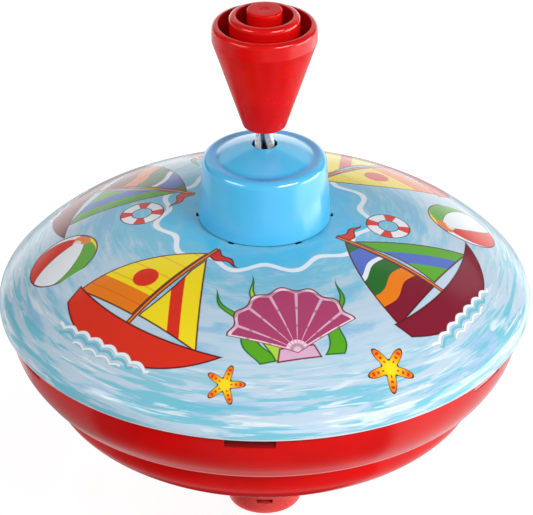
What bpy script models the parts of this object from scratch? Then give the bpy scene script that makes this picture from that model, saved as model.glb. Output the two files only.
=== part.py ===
"""Pump-action humming top: a tin body on a free-turning foot, spun by a twisted spindle.

Metres, +Z up. The origin is on the spin axis, where the foot stands on the floor, and -Y is the front.
"""

import math

import bmesh
import bpy
from mathutils import Vector

# Clearances
FIT = 0.0003  # between pieces that rest on or grip each other
RUN = 0.0005  # between pieces that turn or slide past each other
SLOT_CLEARANCE = 0.00035  # between the spindle and the drive nut's slot
TAB_SLOT_GAP = 0.0008  # inside and outside each collar tab where it passes through the dome

# Twisted spindle and its stop
SPINDLE_W = 0.0070
SPINDLE_T = 0.0018
SPINDLE_LEAD = 0.0480
SPINDLE_GRIP = 0.0300
SPINDLE_TURN = math.radians(18.0)
STOP_T = 0.0035
STOP_LIFT = 0.0013
STOP_LEDGE = 0.0005

# Guide tube
TUBE_WALL = 0.0005

# The photographed side, as an angle about the spin axis
FRONT = -math.pi / 2

# Foot and its snap-in cap
FOOT_H = 0.0215
FOOT_R = 0.0137
FOOT_WALL = 0.0028
FOOT_EDGE = 0.0016
FOOT_BEARING_WALL = 0.0044
FOOT_WEB_Z = 0.0090
FOOT_WEB_T = 0.0024
WINDOW_COUNT = 3
WINDOW_W = 0.0059
WINDOW_H = 0.0016
WINDOW_Z = 0.0048
CAP_T = 0.0018
CAP_PAD_R = 0.0032
HOOK_T = 0.0014
HOOK_NOSE = 0.0012

# Steel pivot between hub and foot
PIVOT_R = 0.0022
PIVOT_HEAD_W = 0.0020
PIVOT_HEAD_T = 0.0016
PIVOT_TIP_H = 0.0022
PIVOT_GRIP = 0.0085

# Hub in the bottom of the bowl
HUB_SPIGOT_WALL = 0.0040
HUB_NECK_WALL = 0.0023
HUB_NECK_H = 0.0098
HUB_FLOOR_T = 0.0028
HUB_FLANGE_W = 0.0068
HUB_FLANGE_T = 0.0022
HUB_SEAT_W = 0.0093
LOCK_RING_W = 0.0050
LOCK_RING_T = 0.0030

# Tin shells
SHEET = 0.0006
BODY_R = 0.0950
BOWL_H = 0.0410
BAND_H = 0.0199
HEM_R = 0.0025
HEM_DROP = 0.0011
DOME_H = 0.0308
SHOULDER_R = 0.0055
SHOULDER_SLOPE = math.radians(47.6)
DOME_LEAN = math.radians(4.6)
FLANGE_BEND = 0.0005
BAND_LEAN = math.radians(2.0)
STEP_INSET = 0.0099
STEP_LEAN = math.radians(33.0)
STEP_LEDGE = 0.0048
STEP_FILLET = 0.0011
BOWL_LEAN = math.radians(18.7)
KNEE_INSET = 0.0169
KNEE_H = 0.0181
KNEE_SLOPE = math.radians(31.0)
HUM_SLOT_COUNT = 6
HUM_SLOT_SPAN = math.radians(10.4)
HUM_SLOT_H = 0.0035
HUM_SLOT_TURN = math.radians(-93.0)
HUM_TONGUE_DEPTH = 0.0016
HUM_TONGUE_ROOT = 0.0008

# How far a curve's two ends pull, as shares of its span
DOME_PULL = (0.31, 0.39)
BAND_PULL = (0.60, 0.20)
BOWL_PULL = (0.41, 0.93)
FLOOR_PULL = (0.40, 0.40)
COLLAR_PULL = (0.25, 0.45)

# Blue drive collar
COLLAR_R = 0.0234
COLLAR_H = 0.0239
COLLAR_TAPER = 0.0017
COLLAR_EDGE = 0.0026
COLLAR_SHELF = 0.0044
COLLAR_GROOVE_DEPTH = 0.0007
COLLAR_GROOVE_FILLET = 0.0012
COLLAR_CROWN_H = 0.0042
COLLAR_GROOVE_SLOPE = math.radians(36.0)
COLLAR_HOLE_SLOPE = math.radians(14.0)
COLLAR_HOLE_GAP = 0.0009
TAB_COUNT = 6
TAB_LUG = 0.0024
SEAT_LEDGE = 0.0032

# Clutch under the collar
CROWN_FLANGE_W = 0.0038
CROWN_FLANGE_T = 0.0022
CROWN_NECK_WALL = 0.0038
CROWN_NECK_H = 0.0100
CROWN_SOCKET_H = 0.0058
TOOTH_COUNT = 12
TOOTH_H = 0.0016
TOOTH_W = 0.0040
TOOTH_HEEL = 0.0004
NUT_FLANGE_T = 0.0025
NUT_WALL = 0.0034

# Knob
KNOB_GAP = 0.0071
KNOB_TIP_R = 0.0074
KNOB_TIP_EDGE = 0.0015
KNOB_CONE_H = 0.0330
KNOB_R = 0.0182
KNOB_BAND_H = 0.0061
KNOB_WALL = 0.0021
KNOB_RING_W = 0.0024
KNOB_RING_RISE = 0.0031
KNOB_BOSS_WALL = 0.0025
KNOB_BOSS_RISE = 0.0022
KNOB_ROLL = 0.0017
KNOB_EDGE = 0.0002
KNOB_BOSS_EDGE = 0.0006
OUTER_GROOVE_DEPTH = 0.0095
INNER_GROOVE_DEPTH = 0.0230

# Facets round turned pieces, across and along the strip, across a hum tongue, and along curved outlines
SHELL_FACETS = 48
COLLAR_FACETS = 12 * TAB_COUNT
FINE_FACETS = 32
SMALL_FACETS = 24
STRIP_FACETS = 4
TWIST_FACETS = 24
TONGUE_FACETS = 4
DOME_STEPS = 6
BAND_STEPS = 4
BOWL_STEPS = 5
FLOOR_STEPS = 4
COLLAR_STEPS = 5
ARC_STEPS = 3
TURN_STEPS = 2

# Limits for mesh clean-up, mitres and shading
MERGE = 0.000001
MITRE_LEAST = 0.5
SHARP_ANGLE = math.radians(35.0)

# Radii that follow from pieces fitting round each other, from the spindle outwards
SPINDLE_R = math.hypot(SPINDLE_W, SPINDLE_T) / 2
CROWN_BORE_R = SPINDLE_R + 2 * RUN
STOP_R = CROWN_BORE_R + STOP_LEDGE
TUBE_R = STOP_R + RUN + TUBE_WALL
HUB_NECK_R = TUBE_R + FIT + HUB_NECK_WALL
HUB_FLANGE_R = HUB_NECK_R + HUB_FLANGE_W
HUB_SEAT_R = HUB_NECK_R + HUB_SEAT_W
CROWN_NECK_R = TUBE_R + FIT + CROWN_NECK_WALL
CROWN_FLANGE_R = CROWN_NECK_R + CROWN_FLANGE_W
NUT_BARREL_R = SPINDLE_R + NUT_WALL
COLLAR_HOLE_R = SPINDLE_R + COLLAR_HOLE_GAP
COLLAR_TOP_R = COLLAR_R - COLLAR_TAPER
COLLAR_GROOVE_R = COLLAR_TOP_R - COLLAR_SHELF
KNOB_BOSS_R = SPINDLE_R + KNOB_BOSS_WALL
HUB_SPIGOT_R = PIVOT_R + FIT + HUB_SPIGOT_WALL
JOURNAL_R = HUB_SPIGOT_R + RUN
FOOT_TOP_R = JOURNAL_R + FOOT_BEARING_WALL
FOOT_CAVITY_R = FOOT_R - FOOT_WALL
PIVOT_HEAD_R = PIVOT_R + PIVOT_HEAD_W
STEP_LIP_R = BODY_R - STEP_INSET
BOWL_R = STEP_LIP_R - STEP_LEDGE
KNEE_R = BOWL_R - KNEE_INSET

# Heights that follow from the stack of pieces
PIVOT_HEAD_Z = FOOT_WEB_Z - RUN - PIVOT_HEAD_T
HUB_FLANGE_Z = FOOT_H + RUN
SHELL_Z = HUB_FLANGE_Z + HUB_FLANGE_T + FIT
HUB_FLOOR_Z = SHELL_Z + HUB_FLOOR_T
SPINDLE_Z = HUB_FLOOR_Z + FIT
STEP_Z = SHELL_Z + BOWL_H
HEM_Z = STEP_Z + BAND_H
RIM_Z = HEM_Z + HEM_R + HEM_DROP
TOP_Z = RIM_Z + DOME_H
CROWN_Z = TOP_Z + FIT
CROWN_SHOULDER_Z = CROWN_Z - CROWN_NECK_H + CROWN_SOCKET_H
NUT_Z = CROWN_Z + CROWN_FLANGE_T + TOOTH_H + FIT
COLLAR_Z = TOP_Z + FIT
COLLAR_TOP_Z = COLLAR_Z + COLLAR_H
KNOB_Z = COLLAR_TOP_Z + COLLAR_CROWN_H + KNOB_GAP

# Finishes: linear red, green and blue, then roughness and metallic
RED_PLASTIC = ((0.69, 0.012, 0.009), 0.28, 0.0)
RED_LACQUER = ((0.63, 0.009, 0.008), 0.22, 0.0)
BLUE_LACQUER = ((0.10, 0.44, 0.78), 0.30, 0.0)
PRINTED_TIN = ((0.42, 0.68, 0.82), 0.20, 0.0)
BRIGHT_STEEL = ((0.62, 0.63, 0.65), 0.25, 1.0)
PLAIN_TIN = ((0.50, 0.51, 0.53), 0.45, 1.0)
NYLON = ((0.80, 0.79, 0.74), 0.50, 0.0)
BLACK_NYLON = ((0.012, 0.012, 0.014), 0.45, 0.0)


def clear_scene():
    """Removes whatever the opened file holds."""
    for leftover in list(bpy.data.objects):
        bpy.data.objects.remove(leftover, do_unlink=True)


def finish(name, look):
    """Makes a piece's own Principled material."""
    colour, roughness, metallic = look
    made = bpy.data.materials.new(name)
    made.use_nodes = True
    shader = made.node_tree.nodes["Principled BSDF"]
    shader.inputs["Base Color"].default_value = (*colour, 1.0)
    shader.inputs["Roughness"].default_value = roughness
    shader.inputs["Metallic"].default_value = metallic
    return made


def axis_frame(name, height=0.0):
    """Adds an empty on the spin axis, which carries the pieces that move together."""
    empty = bpy.data.objects.new(name, None)
    empty.location = (0.0, 0.0, height)
    bpy.context.scene.collection.objects.link(empty)
    return empty


def curve(start, start_pull, end_pull, end, steps):
    """Points on a cubic curve that leaves start by one pull and reaches end against the other."""
    first = Vector(start)
    last = Vector(end)
    second = first + Vector(start_pull)
    third = last - Vector(end_pull)
    points = []
    for step in range(steps + 1):
        t = step / steps
        s = 1.0 - t
        points.append(s**3 * first + 3 * s * s * t * second + 3 * s * t * t * third + t**3 * last)
    return points


def arc(centre, radius, start, end, steps):
    """Points on a round stretch between two angles in degrees."""
    points = []
    for step in range(steps + 1):
        angle = math.radians(start + (end - start) * step / steps)
        points.append(Vector((centre[0] + radius * math.cos(angle), centre[1] + radius * math.sin(angle))))
    return points


def rounded(before, corner, after, radius, steps=ARC_STEPS):
    """Points of a fillet at a corner, no longer than half of either side."""
    corner = Vector(corner)
    back = Vector(before) - corner
    ahead = Vector(after) - corner
    half = back.angle(ahead) / 2
    reach = min(radius / math.tan(half), back.length / 2, ahead.length / 2)
    centre = corner + (back.normalized() + ahead.normalized()).normalized() * reach / math.cos(half)
    start = corner + back.normalized() * reach - centre
    end = corner + ahead.normalized() * reach - centre
    points = []
    for step in range(steps + 1):
        mixed = start.lerp(end, step / steps)
        points.append(centre + mixed.normalized() * start.length)
    return points


def beside(path, distance):
    """The path moved sideways by a distance, to the right as it runs."""
    moved = []
    for index, point in enumerate(path):
        ahead = path[min(index + 1, len(path) - 1)] - point
        back = point - path[max(index - 1, 0)]
        along = (ahead.normalized() + back.normalized()).normalized()
        side = along if ahead.length == 0 or back.length == 0 else ahead.normalized()
        right = Vector((along.y, -along.x))
        square = Vector((side.y, -side.x))
        moved.append(point + right * distance / max(right.dot(square), MITRE_LEAST))
    return moved


def pressed(path):
    """Closed outline of a sheet whose outer face follows the path."""
    return path + beside(path, SHEET)[::-1]


def height_at(path, radius):
    """Height of a path where it passes a radius."""
    for inner, outer in zip(path, path[1:]):
        low, high = sorted((inner.x, outer.x))
        if low <= radius <= high and high > low:
            share = (radius - inner.x) / (outer.x - inner.x)
            return inner.y + share * (outer.y - inner.y)
    raise ValueError("the path doesn't reach this radius")


def turned_mesh(outline, facets, turn=0.0):
    """Spins an outline of (radius, height) points about Z; a closed one unless its ends are on the axis."""
    mesh = bmesh.new()
    across = Vector((math.cos(turn), math.sin(turn), 0.0))
    points = [mesh.verts.new(across * p[0] + Vector((0.0, 0.0, p[1]))) for p in outline]
    solid = outline[0][0] == 0.0 and outline[-1][0] == 0.0
    pairs = list(zip(points, points[1:]))
    if not solid:
        pairs.append((points[-1], points[0]))
    edges = [mesh.edges.new(pair) for pair in pairs]
    bmesh.ops.spin(
        mesh,
        geom=points + edges,
        axis=(0.0, 0.0, 1.0),
        cent=(0.0, 0.0, 0.0),
        angle=math.tau,
        steps=facets,
        use_merge=True,
    )
    bmesh.ops.remove_doubles(mesh, verts=mesh.verts, dist=MERGE)
    bmesh.ops.recalc_face_normals(mesh, faces=mesh.faces)
    return mesh


def twisted_mesh(width, thickness, bottom, top):
    """A flat bar wound left-handed about Z; bars of any length are in step with each other."""
    mesh = bmesh.new()
    steps = max(2, round((top - bottom) * TWIST_FACETS / SPINDLE_LEAD))
    across = [width * (share / STRIP_FACETS - 0.5) for share in range(STRIP_FACETS + 1)]
    section = [(x, -thickness / 2) for x in across] + [(x, thickness / 2) for x in reversed(across)]
    rings = []
    for step in range(steps + 1):
        height = bottom + (top - bottom) * step / steps
        angle = SPINDLE_TURN - math.tau * height / SPINDLE_LEAD
        turn_x = Vector((math.cos(angle), math.sin(angle), 0.0))
        turn_y = Vector((-math.sin(angle), math.cos(angle), 0.0))
        rise = Vector((0.0, 0.0, height))
        rings.append([mesh.verts.new(turn_x * x + turn_y * y + rise) for x, y in section])
    count = len(section)
    for low, high in zip(rings, rings[1:]):
        for i in range(count):
            j = (i + 1) % count
            mesh.faces.new((low[i], low[j], high[j], high[i]))
    mesh.faces.new(rings[0][::-1])
    mesh.faces.new(rings[-1])
    return mesh


def drawn_out(mesh, faces, move):
    """Extrudes a patch of faces by a move and returns the faces that now cap it."""
    grown = bmesh.ops.extrude_face_region(mesh, geom=faces)["geom"]
    bmesh.ops.delete(mesh, geom=[face for face in faces if face.is_valid], context="FACES")
    corners = [item for item in grown if isinstance(item, bmesh.types.BMVert)]
    for corner in corners:
        corner.co += move(corner.co)
    return [item for item in grown if isinstance(item, bmesh.types.BMFace)]


def polar(place):
    """Angle of a place about Z."""
    return math.atan2(place.y, place.x)


def faces_at(mesh, level, radius, angle=0.0, reach=math.pi):
    """Faces whose middles lie at a height and a radius, within reach of an angle."""
    found = []
    for face in mesh.faces:
        middle = face.calc_center_median()
        off_angle = abs((polar(middle) - angle + math.pi) % math.tau - math.pi)
        off_place = max(abs(middle.z - level), abs(middle.xy.length - radius))
        if off_place < FIT / 2 and off_angle <= reach:
            found.append(face)
    return found


def outward(length):
    """A move away from the spin axis, for drawn_out."""
    return lambda place: Vector((place.x, place.y, 0.0)).normalized() * length


def upward(length):
    """A move along the spin axis, for drawn_out."""
    return lambda place: Vector((0.0, 0.0, length))


def piece(name, mesh, look, carrier):
    """Makes a mesh into a named, smooth-shaded object on its carrier."""
    data = bpy.data.meshes.new(name)
    mesh.to_mesh(data)
    mesh.free()
    data.materials.append(finish(name, look))
    data.shade_smooth()
    data.set_sharp_from_angle(angle=SHARP_ANGLE)
    made = bpy.data.objects.new(name, data)
    bpy.context.scene.collection.objects.link(made)
    made.parent = carrier
    made.location = -carrier.location
    return made


def combine(target, tool_mesh, operation):
    """Takes a tool's shape out of a piece, or joins it on, by the name of the Boolean operation."""
    name = target.name + "_tool"
    data = bpy.data.meshes.new(name)
    tool_mesh.to_mesh(data)
    tool_mesh.free()
    tool = bpy.data.objects.new(name, data)
    bpy.context.scene.collection.objects.link(tool)
    tool.parent = target.parent
    tool.location = target.location
    tool.hide_render = True
    tool.display_type = "WIRE"
    change = target.modifiers.new("shape", "BOOLEAN")
    change.operation = operation
    change.solver = "EXACT"
    change.object = tool


def cut(target, tool_mesh):
    """Takes the shape of a tool out of a piece."""
    combine(target, tool_mesh, "DIFFERENCE")


def join(target, tool_mesh):
    """Fuses the shape of a tool with a piece that it overlaps."""
    combine(target, tool_mesh, "UNION")


def boxes_round(count, first_angle, inner, outer, width, bottom, top):
    """Equal boxes set round the spin axis, as one mesh of separate solids."""
    mesh = bmesh.new()
    for index in range(count):
        angle = first_angle + math.tau * index / count
        made = bmesh.ops.create_cube(mesh, size=1.0)["verts"]
        for corner in made:
            radial = inner + (corner.co.x + 0.5) * (outer - inner)
            across = corner.co.y * width
            height = bottom + (corner.co.z + 0.5) * (top - bottom)
            x = radial * math.cos(angle) - across * math.sin(angle)
            y = radial * math.sin(angle) + across * math.cos(angle)
            corner.co = (x, y, height)
    return mesh


def ring_outline(inner, outer, bottom, top):
    """Outline of a plain ring."""
    return [(inner, bottom), (outer, bottom), (outer, top), (inner, top)]


def ratchet(mesh, level, rise):
    """Draws every second facet of the flat toothed band at a level out into a wedge tooth."""
    half_pitch = math.pi / TOOTH_COUNT
    band_r = (CROWN_FLANGE_R - TOOTH_W / 2) * math.cos(half_pitch / 2)
    for index in range(TOOTH_COUNT):
        middle = half_pitch * (2 * index + 0.5)

        def wedge(place, middle=middle):
            ahead = math.sin(polar(place) - middle) > 0.0
            return Vector((0.0, 0.0, rise if ahead else math.copysign(TOOTH_HEEL, rise)))

        drawn_out(mesh, faces_at(mesh, level, band_r, middle, half_pitch / 4), wedge)


def upper_shell_path():
    """Outer face of the tin dome, from its centre hole out and down to the end of the rolled hem."""
    seat = Vector((COLLAR_R + SEAT_LEDGE, TOP_Z))
    slope = math.degrees(SHOULDER_SLOPE)
    shoulder = arc((BODY_R - SHOULDER_R, RIM_Z), SHOULDER_R, 90.0 - slope, 0.0, ARC_STEPS)
    span = (shoulder[0] - seat).length
    leave = Vector((math.cos(DOME_LEAN), -math.sin(DOME_LEAN))) * span * DOME_PULL[0]
    arrive = Vector((math.cos(SHOULDER_SLOPE), -math.sin(SHOULDER_SLOPE))) * span * DOME_PULL[1]
    dome = curve(seat, leave, arrive, shoulder[0], DOME_STEPS)
    hem = arc((BODY_R - HEM_R, HEM_Z + HEM_R), HEM_R, 0.0, -90.0, ARC_STEPS)
    hole = Vector((CROWN_NECK_R + FIT, TOP_Z))
    return [hole] + dome + shoulder[1:] + hem


def lower_shell_path():
    """Outer face of the bowl, from the flange that the hem grips down to the hub hole."""
    hem_middle_r = BODY_R - HEM_R
    wall_r = hem_middle_r - FIT
    flange_z = HEM_Z + SHEET + FIT
    hem_bore = HEM_R - SHEET
    flange_reach = math.sqrt(hem_bore**2 - (hem_bore - FIT) ** 2) - 2 * FIT
    flange_tip = Vector((hem_middle_r + flange_reach, flange_z))
    wall_top = Vector((wall_r, flange_z))
    bend_end = Vector((wall_r, flange_z - 3 * FLANGE_BEND))
    bend = rounded(flange_tip, wall_top, bend_end, FLANGE_BEND, TURN_STEPS)
    lip = Vector((STEP_LIP_R, STEP_Z))
    band_drop = flange_z - STEP_Z
    leave = Vector((-math.sin(BAND_LEAN), -math.cos(BAND_LEAN))) * band_drop * BAND_PULL[0]
    arrive = Vector((-math.sin(STEP_LEAN), -math.cos(STEP_LEAN))) * band_drop * BAND_PULL[1]
    band = curve(bend[-1], leave, arrive, lip, BAND_STEPS)
    root = Vector((BOWL_R, STEP_Z))
    bowl_drop = BOWL_H - KNEE_H
    knee = Vector((KNEE_R, SHELL_Z + KNEE_H))
    knee_way = Vector((-math.cos(KNEE_SLOPE), -math.sin(KNEE_SLOPE)))
    bowl_leave = Vector((-math.sin(BOWL_LEAN), -math.cos(BOWL_LEAN))) * bowl_drop * BOWL_PULL[0]
    bowl = curve(root, bowl_leave, knee_way * bowl_drop * BOWL_PULL[1], knee, BOWL_STEPS)
    seat = Vector((HUB_SEAT_R, SHELL_Z))
    floor_span = KNEE_R - HUB_SEAT_R
    floor_arrive = (-floor_span * FLOOR_PULL[1], 0.0)
    floor = curve(knee, knee_way * floor_span * FLOOR_PULL[0], floor_arrive, seat, FLOOR_STEPS)
    lip_turn = rounded(band[-2], lip, root, STEP_FILLET, TURN_STEPS)
    root_turn = rounded(lip, root, bowl[1], STEP_FILLET, TURN_STEPS)
    hole = Vector((HUB_NECK_R + FIT, SHELL_Z))
    return [flange_tip] + bend + band[1:-1] + lip_turn + root_turn + bowl[1:] + floor[1:] + [hole]


def collar_path():
    """Outer face of the blue cap, from its base up the wall and over its crown to the spindle hole."""
    base = Vector((COLLAR_R, COLLAR_Z))
    corner = Vector((COLLAR_TOP_R, COLLAR_TOP_Z))
    groove = Vector((COLLAR_GROOVE_R, COLLAR_TOP_Z - COLLAR_GROOVE_DEPTH))
    hole = Vector((COLLAR_HOLE_R, COLLAR_TOP_Z + COLLAR_CROWN_H))
    span = COLLAR_GROOVE_R - COLLAR_HOLE_R
    leave = Vector((-math.cos(COLLAR_GROOVE_SLOPE), math.sin(COLLAR_GROOVE_SLOPE))) * span * COLLAR_PULL[0]
    arrive = Vector((-math.cos(COLLAR_HOLE_SLOPE), math.sin(COLLAR_HOLE_SLOPE))) * span * COLLAR_PULL[1]
    crown = curve(groove, leave, arrive, hole, COLLAR_STEPS)
    groove_turn = rounded(corner, groove, crown[1], COLLAR_GROOVE_FILLET, TURN_STEPS)
    return [base] + rounded(base, corner, groove, COLLAR_EDGE) + groove_turn + crown[1:]


def make_upper_shell(carrier):
    """Printed tin dome with a slot for each collar tab."""
    mesh = turned_mesh(pressed(upper_shell_path()), SHELL_FACETS)
    shell = piece("upper_shell", mesh, PRINTED_TIN, carrier)
    facet_w = 2 * COLLAR_R * math.sin(math.pi / COLLAR_FACETS)
    cut(
        shell,
        boxes_round(
            TAB_COUNT,
            0.0,
            COLLAR_R - SHEET - TAB_SLOT_GAP,
            COLLAR_R + TAB_SLOT_GAP,
            facet_w + 2 * FIT,
            TOP_Z - SHEET - 2 * TAB_SLOT_GAP,
            TOP_Z + 2 * TAB_SLOT_GAP,
        ),
    )


def make_lower_shell(carrier):
    """Red tin bowl with the hum slots close under the hem."""
    mesh = turned_mesh(pressed(lower_shell_path()), SHELL_FACETS)
    shell = piece("lower_shell", mesh, RED_LACQUER, carrier)
    slot_w = 2 * BODY_R * math.sin(HUM_SLOT_SPAN / 2)
    slot_top = HEM_Z - FIT
    cut(
        shell,
        boxes_round(
            HUM_SLOT_COUNT,
            HUM_SLOT_TURN,
            BODY_R - 4 * HEM_R,
            BODY_R + HEM_R,
            slot_w,
            slot_top - HUM_SLOT_H,
            slot_top,
        ),
    )
    join(shell, hum_tongues(slot_w / 2, slot_top))


def hum_tongues(half, top):
    """The metal of the hum slots, still fast to the bowl along the foot and pressed inwards above it."""
    root_r = BODY_R - HEM_R - FIT - SHEET
    foot = top - HUM_SLOT_H
    face = [(root_r, foot - HUM_TONGUE_ROOT), (root_r, foot), (root_r - HUM_TONGUE_DEPTH, top - FIT)]
    outline = face + [(radius - SHEET, height) for radius, height in reversed(face)]
    reach = math.asin((half + HUM_TONGUE_ROOT) / root_r)
    mesh = bmesh.new()
    for index in range(HUM_SLOT_COUNT):
        middle = HUM_SLOT_TURN + math.tau * index / HUM_SLOT_COUNT
        sections = []
        for step in range(TONGUE_FACETS + 1):
            angle = middle + reach * (2 * step / TONGUE_FACETS - 1)
            out = Vector((math.cos(angle), math.sin(angle), 0.0))
            places = [out * radius + Vector((0.0, 0.0, height)) for radius, height in outline]
            sections.append([mesh.verts.new(place) for place in places])
        mesh.faces.new(sections[0])
        mesh.faces.new(sections[-1])
        for low, high in zip(sections, sections[1:]):
            for here in range(len(outline)):
                after = (here + 1) % len(outline)
                mesh.faces.new((low[here], low[after], high[after], high[here]))
    bmesh.ops.recalc_face_normals(mesh, faces=mesh.faces)
    return mesh


def make_collar(carrier):
    """Blue cap with six tabs that pass through the dome and are bent inwards below it."""
    path = collar_path()
    facet = math.tau / COLLAR_FACETS
    mesh = turned_mesh(path + beside(path, -SHEET)[::-1], COLLAR_FACETS, facet / 2)
    tab_drop = FIT + SHEET + 2 * FIT
    square = math.cos(facet / 2)
    for index in range(TAB_COUNT):
        angle = math.tau * index / TAB_COUNT
        root = faces_at(mesh, COLLAR_Z, (COLLAR_R - SHEET / 2) * square, angle, facet / 4)
        shank = drawn_out(mesh, root, upward(-tab_drop))
        drawn_out(mesh, shank, upward(-SHEET))
        bent = faces_at(mesh, COLLAR_Z - tab_drop - SHEET / 2, (COLLAR_R - SHEET) * square, angle, facet / 4)
        drawn_out(mesh, bent, outward(-TAB_LUG))
    bmesh.ops.recalc_face_normals(mesh, faces=mesh.faces)
    piece("drive_collar", mesh, BLUE_LACQUER, carrier)


def make_crown(carrier):
    """Toothed clutch ring whose neck passes through the dome and holds the guide tube."""
    shoulder = CROWN_SHOULDER_Z
    bottom = CROWN_Z - CROWN_NECK_H
    top = CROWN_Z + CROWN_FLANGE_T
    outline = [
        (CROWN_BORE_R, shoulder),
        (TUBE_R + FIT, shoulder),
        (TUBE_R + FIT, bottom),
        (CROWN_NECK_R, bottom),
        (CROWN_NECK_R, CROWN_Z),
        (CROWN_FLANGE_R, CROWN_Z),
        (CROWN_FLANGE_R, top),
        (CROWN_FLANGE_R - TOOTH_W, top),
        (CROWN_BORE_R, top),
    ]
    mesh = turned_mesh(outline, 2 * TOOTH_COUNT)
    ratchet(mesh, top, TOOTH_H)
    piece("clutch_crown", mesh, NYLON, carrier)
    lock_top = TOP_Z - SHEET - FIT
    neck = CROWN_NECK_R + FIT
    ring = ring_outline(neck, neck + LOCK_RING_W, lock_top - LOCK_RING_T, lock_top)
    piece("crown_lock_ring", turned_mesh(ring, SMALL_FACETS), NYLON, carrier)


def make_nut(carrier):
    """Drive nut, shown lifted off the crown as on the pull stroke, with its twisted slot."""
    roof = height_at(beside(collar_path(), -SHEET)[::-1], NUT_BARREL_R)
    root = NUT_Z + TOOTH_H
    outline = [
        (0.0, root),
        (CROWN_FLANGE_R - TOOTH_W, root),
        (CROWN_FLANGE_R, root),
        (CROWN_FLANGE_R, root + NUT_FLANGE_T),
        (NUT_BARREL_R, root + NUT_FLANGE_T),
        (NUT_BARREL_R, roof - FIT),
        (0.0, roof - FIT),
    ]
    mesh = turned_mesh(outline, 2 * TOOTH_COUNT)
    ratchet(mesh, root, -TOOTH_H)
    nut = piece("drive_nut", mesh, BLACK_NYLON, carrier)
    slot_w = SPINDLE_W + 2 * SLOT_CLEARANCE
    slot_t = SPINDLE_T + 2 * SLOT_CLEARANCE
    overrun = SPINDLE_LEAD / TWIST_FACETS
    cut(nut, twisted_mesh(slot_w, slot_t, NUT_Z - overrun, roof + overrun))


def make_plunger(carrier):
    """Twisted strip with its stop below and the knob pressed on above."""
    strip_top = KNOB_Z + SPINDLE_GRIP
    strip = twisted_mesh(SPINDLE_W, SPINDLE_T, SPINDLE_Z, strip_top)
    piece("spindle", strip, BRIGHT_STEEL, carrier)
    slot_w = SPINDLE_W + 2 * FIT
    slot_t = SPINDLE_T + 2 * FIT
    overrun = SPINDLE_LEAD / TWIST_FACETS
    stop_z = SPINDLE_Z + STOP_LIFT
    outline = [(0.0, stop_z), (STOP_R, stop_z), (STOP_R, stop_z + STOP_T), (0.0, stop_z + STOP_T)]
    stop = piece("spindle_stop", turned_mesh(outline, SMALL_FACETS), BRIGHT_STEEL, carrier)
    cut(stop, twisted_mesh(slot_w, slot_t, stop_z - overrun, stop_z + STOP_T + overrun))
    knob = piece("knob", turned_mesh(knob_outline(), FINE_FACETS), RED_PLASTIC, carrier)
    cut(knob, twisted_mesh(slot_w, slot_t, KNOB_Z - overrun, strip_top + FIT))


def knob_outline():
    """Half section of the knob, from the middle of its tip round to the middle of its boss."""
    kink_z = KNOB_Z + KNOB_CONE_H
    rim_z = kink_z + KNOB_BAND_H
    ring_z = rim_z + KNOB_RING_RISE
    boss_z = ring_z + KNOB_BOSS_RISE
    outer_floor = rim_z - OUTER_GROOVE_DEPTH
    inner_floor = ring_z - INNER_GROOVE_DEPTH
    rim_inner = KNOB_R - KNOB_WALL
    ring_middle = (rim_inner + KNOB_BOSS_R) / 2
    ring_outer = ring_middle + KNOB_RING_W / 2
    ring_inner = ring_middle - KNOB_RING_W / 2
    kink = Vector((KNOB_R, kink_z))
    tip = Vector((KNOB_TIP_R, KNOB_Z))
    cone_share = (outer_floor - KNOB_Z) / KNOB_CONE_H
    floor_r = KNOB_TIP_R + (KNOB_R - KNOB_TIP_R) * cone_share - KNOB_WALL

    def edge(before, corner, after):
        return rounded(before, corner, after, KNOB_EDGE, TURN_STEPS)

    def rolled_edge(radius, height, width):
        roll = min(KNOB_ROLL, width - 2 * KNOB_EDGE)
        return arc((radius - roll, height - roll), roll, 0.0, 90.0, ARC_STEPS)

    points = [Vector((0.0, KNOB_Z))]
    points += rounded((0.0, KNOB_Z), tip, kink, KNOB_TIP_EDGE)
    points.append(kink)
    points += rolled_edge(KNOB_R, rim_z, KNOB_WALL)
    points += edge((KNOB_R, rim_z), (rim_inner, rim_z), (floor_r, outer_floor))
    points.append(Vector((floor_r, outer_floor)))
    points.append(Vector((ring_outer, outer_floor)))
    points += rolled_edge(ring_outer, ring_z, KNOB_RING_W)
    points += edge((ring_outer, ring_z), (ring_inner, ring_z), (ring_inner, inner_floor))
    points.append(Vector((ring_inner, inner_floor)))
    points.append(Vector((KNOB_BOSS_R, inner_floor)))
    boss_foot = (KNOB_BOSS_R, inner_floor)
    points += rounded(boss_foot, (KNOB_BOSS_R, boss_z), (0.0, boss_z), KNOB_BOSS_EDGE, TURN_STEPS)
    points.append(Vector((0.0, boss_z)))
    return points


def make_tube(carrier):
    """Guide tube between the hub's socket and the crown's socket."""
    ring = ring_outline(TUBE_R - TUBE_WALL, TUBE_R, HUB_FLOOR_Z + FIT, CROWN_SHOULDER_Z - FIT)
    piece("spindle_tube", turned_mesh(ring, SMALL_FACETS), PLAIN_TIN, carrier)


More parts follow.
